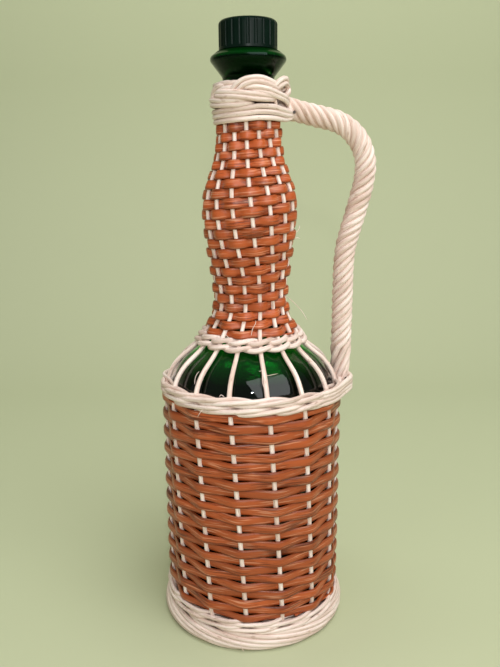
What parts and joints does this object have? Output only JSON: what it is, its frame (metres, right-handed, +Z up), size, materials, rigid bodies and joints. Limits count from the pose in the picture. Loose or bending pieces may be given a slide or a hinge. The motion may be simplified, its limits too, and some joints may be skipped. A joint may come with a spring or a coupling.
{
  "type": "wicker-covered glass bottle",
  "caption": "Glass bottle for wine in a woven willow jacket, with a peeled willow collar, bands and twisted side handle, closed by a fluted plastic screw cap.",
  "frame": {"origin": "centre of the foot, on the bottle's axis at the floor", "axes": "+Z up along the bottle's axis, +X towards the side handle, -Y the front"},
  "size_m": [0.1213, 0.108, 0.3333],
  "materials": {
    "green_glass": "smooth deep green bottle glass, clear gloss",
    "cap_plastic": "satin dark green moulded plastic with fine flutes",
    "liner_foam": "white pressed foam disc",
    "peeled_willow": "peeled cream willow rods, satin, lightly streaked along the grain",
    "brown_willow": "red-brown split willow, streaked, low sheen",
    "tack_steel": "dulled steel tack heads"
  },
  "bodies": {
    "root": {"base_sticks_lower": "peeled_willow", "base_sticks_upper": "peeled_willow", "base_weaver": "peeled_willow", "body_weaver": "brown_willow", "collar_lining": "peeled_willow", "collar_rod_1": "peeled_willow", "collar_rod_2": "peeled_willow", "collar_rod_3": "peeled_willow", "collar_rod_4": "peeled_willow", "collar_rod_5": "peeled_willow", "collar_rod_6": "peeled_willow", "collar_rod_7": "peeled_willow", "collar_rod_8": "peeled_willow", "foot_border_rod_1": "peeled_willow", "foot_border_rod_2": "peeled_willow", "foot_border_rod_3": "peeled_willow", "foot_border_rod_4": "peeled_willow", "foot_border_rod_5": "peeled_willow", "foot_wale_rod_1": "peeled_willow", "foot_wale_rod_2": "peeled_willow", "foot_wale_rod_3": "peeled_willow", "glass_bottle": "green_glass", "handle_core": "peeled_willow", "handle_rod_1": "peeled_willow", "handle_rod_2": "peeled_willow", "handle_rod_3": "peeled_willow", "handle_rod_4": "peeled_willow", "handle_rod_5": "peeled_willow", "handle_rod_6": "peeled_willow", "lower_band_rod_1": "peeled_willow", "lower_band_rod_2": "peeled_willow", "lower_band_rod_3": "peeled_willow", "neck_weaver": "brown_willow", "stake_01": "peeled_willow", "stake_02": "peeled_willow", "stake_03": "peeled_willow", "stake_04": "peeled_willow", "stake_05": "peeled_willow", "stake_06": "peeled_willow", "stake_07": "peeled_willow", "stake_08": "peeled_willow", "stake_09": "peeled_willow", "stake_10": "peeled_willow", "stake_11": "peeled_willow", "stake_12": "peeled_willow", "stake_13": "peeled_willow", "stake_14": "peeled_willow", "stake_15": "peeled_willow", "tacks": "tack_steel", "upper_band_rod_1": "peeled_willow", "upper_band_rod_2": "peeled_willow"},
    "liner": {"cap_liner": "liner_foam"},
    "cap": {"screw_cap": "cap_plastic"}
  },
  "joints": [
    {"name": "cap_lift", "type": "slide", "parent": "root", "child": "liner", "axis": [0, 0, 1], "range_m": [0, 0.0141]},
    {"name": "cap_turn", "type": "hinge", "parent": "liner", "child": "cap", "pos_m": [0, 0, 0.3253], "axis": [0, 0, 1], "range_deg": [0, 1200]}
  ],
  "couplings": [
    {"joint": "cap_lift", "follows": "cap_turn", "m_per_rad": 0.00066845}
  ]
}
